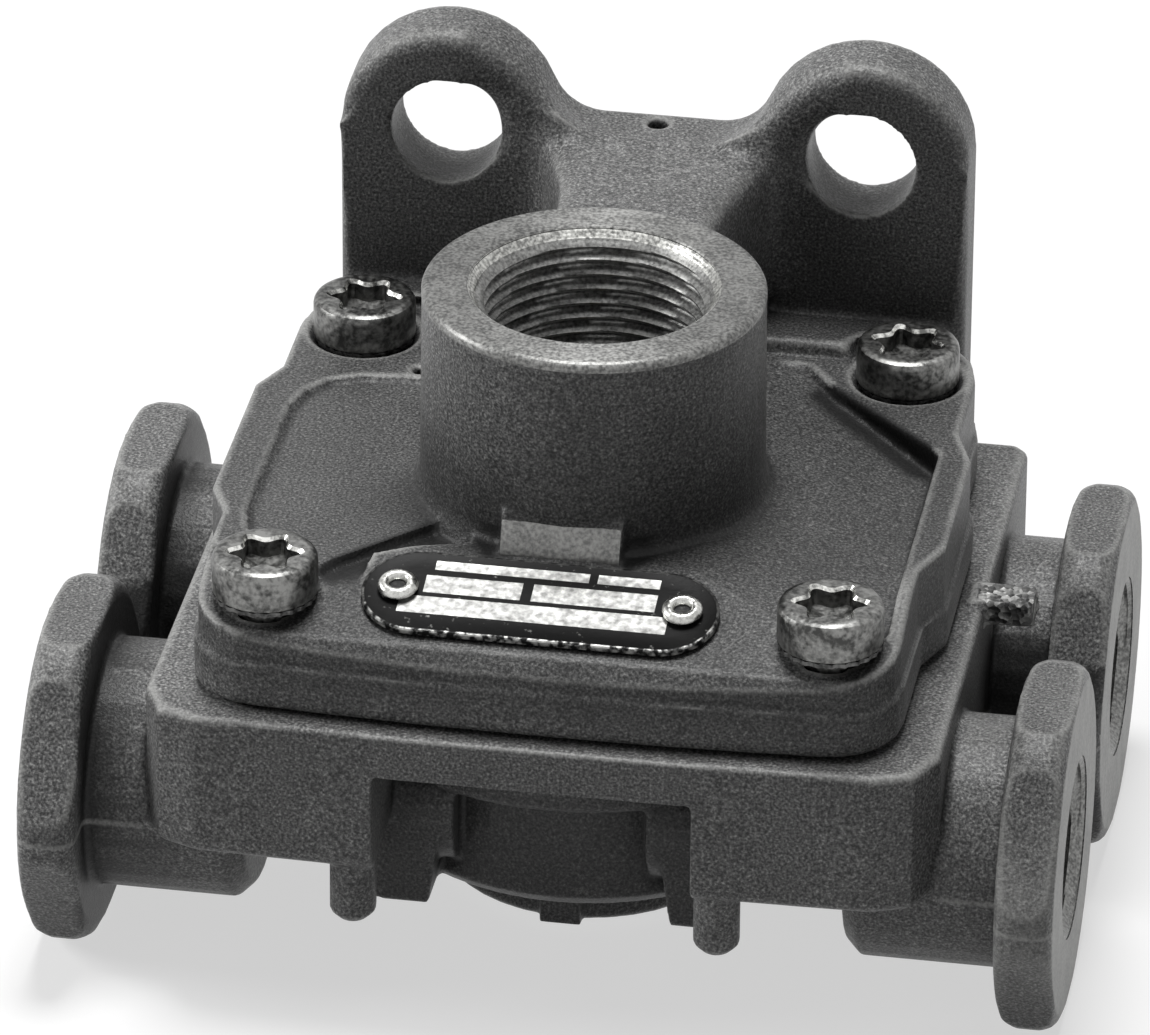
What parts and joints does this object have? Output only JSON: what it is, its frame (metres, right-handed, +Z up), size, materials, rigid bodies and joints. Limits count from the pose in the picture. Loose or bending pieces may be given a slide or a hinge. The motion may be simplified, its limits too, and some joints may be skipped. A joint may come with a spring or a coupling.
{
  "type": "quick exhaust valve",
  "caption": "Pneumatic quick exhaust valve: cast housing with hexagonal side port flanges, screwed cover with threaded supply boss and bolt ears, diaphragm and exhaust flap inside.",
  "frame": {"origin": "centre of the bounding box in X and Y, on the lower flats of the hexagonal port flanges", "axes": "+X to the right delivery ports, +Y to the back of the mounting ears, +Z up along the supply port"},
  "size_m": [0.0966, 0.0744, 0.0689],
  "materials": {
    "cast_aluminium": "as cast, fine grain",
    "zinc_plated_steel": "bright zinc",
    "phosphated_steel": "dark phosphate",
    "anodised_sheet": "black field, bright bars",
    "drawn_aluminium": "bright",
    "moulded_rubber": "matt",
    "seal_rubber": "satin",
    "turned_brass": "turned",
    "spring_steel": "drawn wire"
  },
  "bodies": {
    "valve_body": {"lower_housing": "cast_aluminium", "cover": "cast_aluminium", "nameplate": "anodised_sheet", "nameplate_rivet_1": "drawn_aluminium", "nameplate_rivet_2": "drawn_aluminium", "cover_seal": "seal_rubber", "return_spring": "spring_steel", "flap_washer": "zinc_plated_steel", "flap_pin": "zinc_plated_steel", "cover_screw_1": "zinc_plated_steel", "lock_washer_1": "phosphated_steel", "cover_screw_2": "zinc_plated_steel", "lock_washer_2": "phosphated_steel", "cover_screw_3": "zinc_plated_steel", "lock_washer_3": "phosphated_steel", "cover_screw_4": "zinc_plated_steel", "lock_washer_4": "phosphated_steel"},
    "diaphragm_group": {"diaphragm": "moulded_rubber", "spring_seat": "turned_brass"},
    "flap": {"exhaust_flap": "moulded_rubber"}
  },
  "joints": [
    {"name": "diaphragm_lift", "type": "slide", "parent": "valve_body", "child": "diaphragm_group", "axis": [0, 0, -1], "range_m": [0, 0.0018], "stiffness_N_per_m": 150, "springref_m": -0.003, "deforming": ["return_spring"]},
    {"name": "flap_lift", "type": "slide", "parent": "valve_body", "child": "flap", "axis": [0, 0, -1], "range_m": [0, 0.001], "stiffness_N_per_m": 100, "springref_m": -0.002}
  ]
}
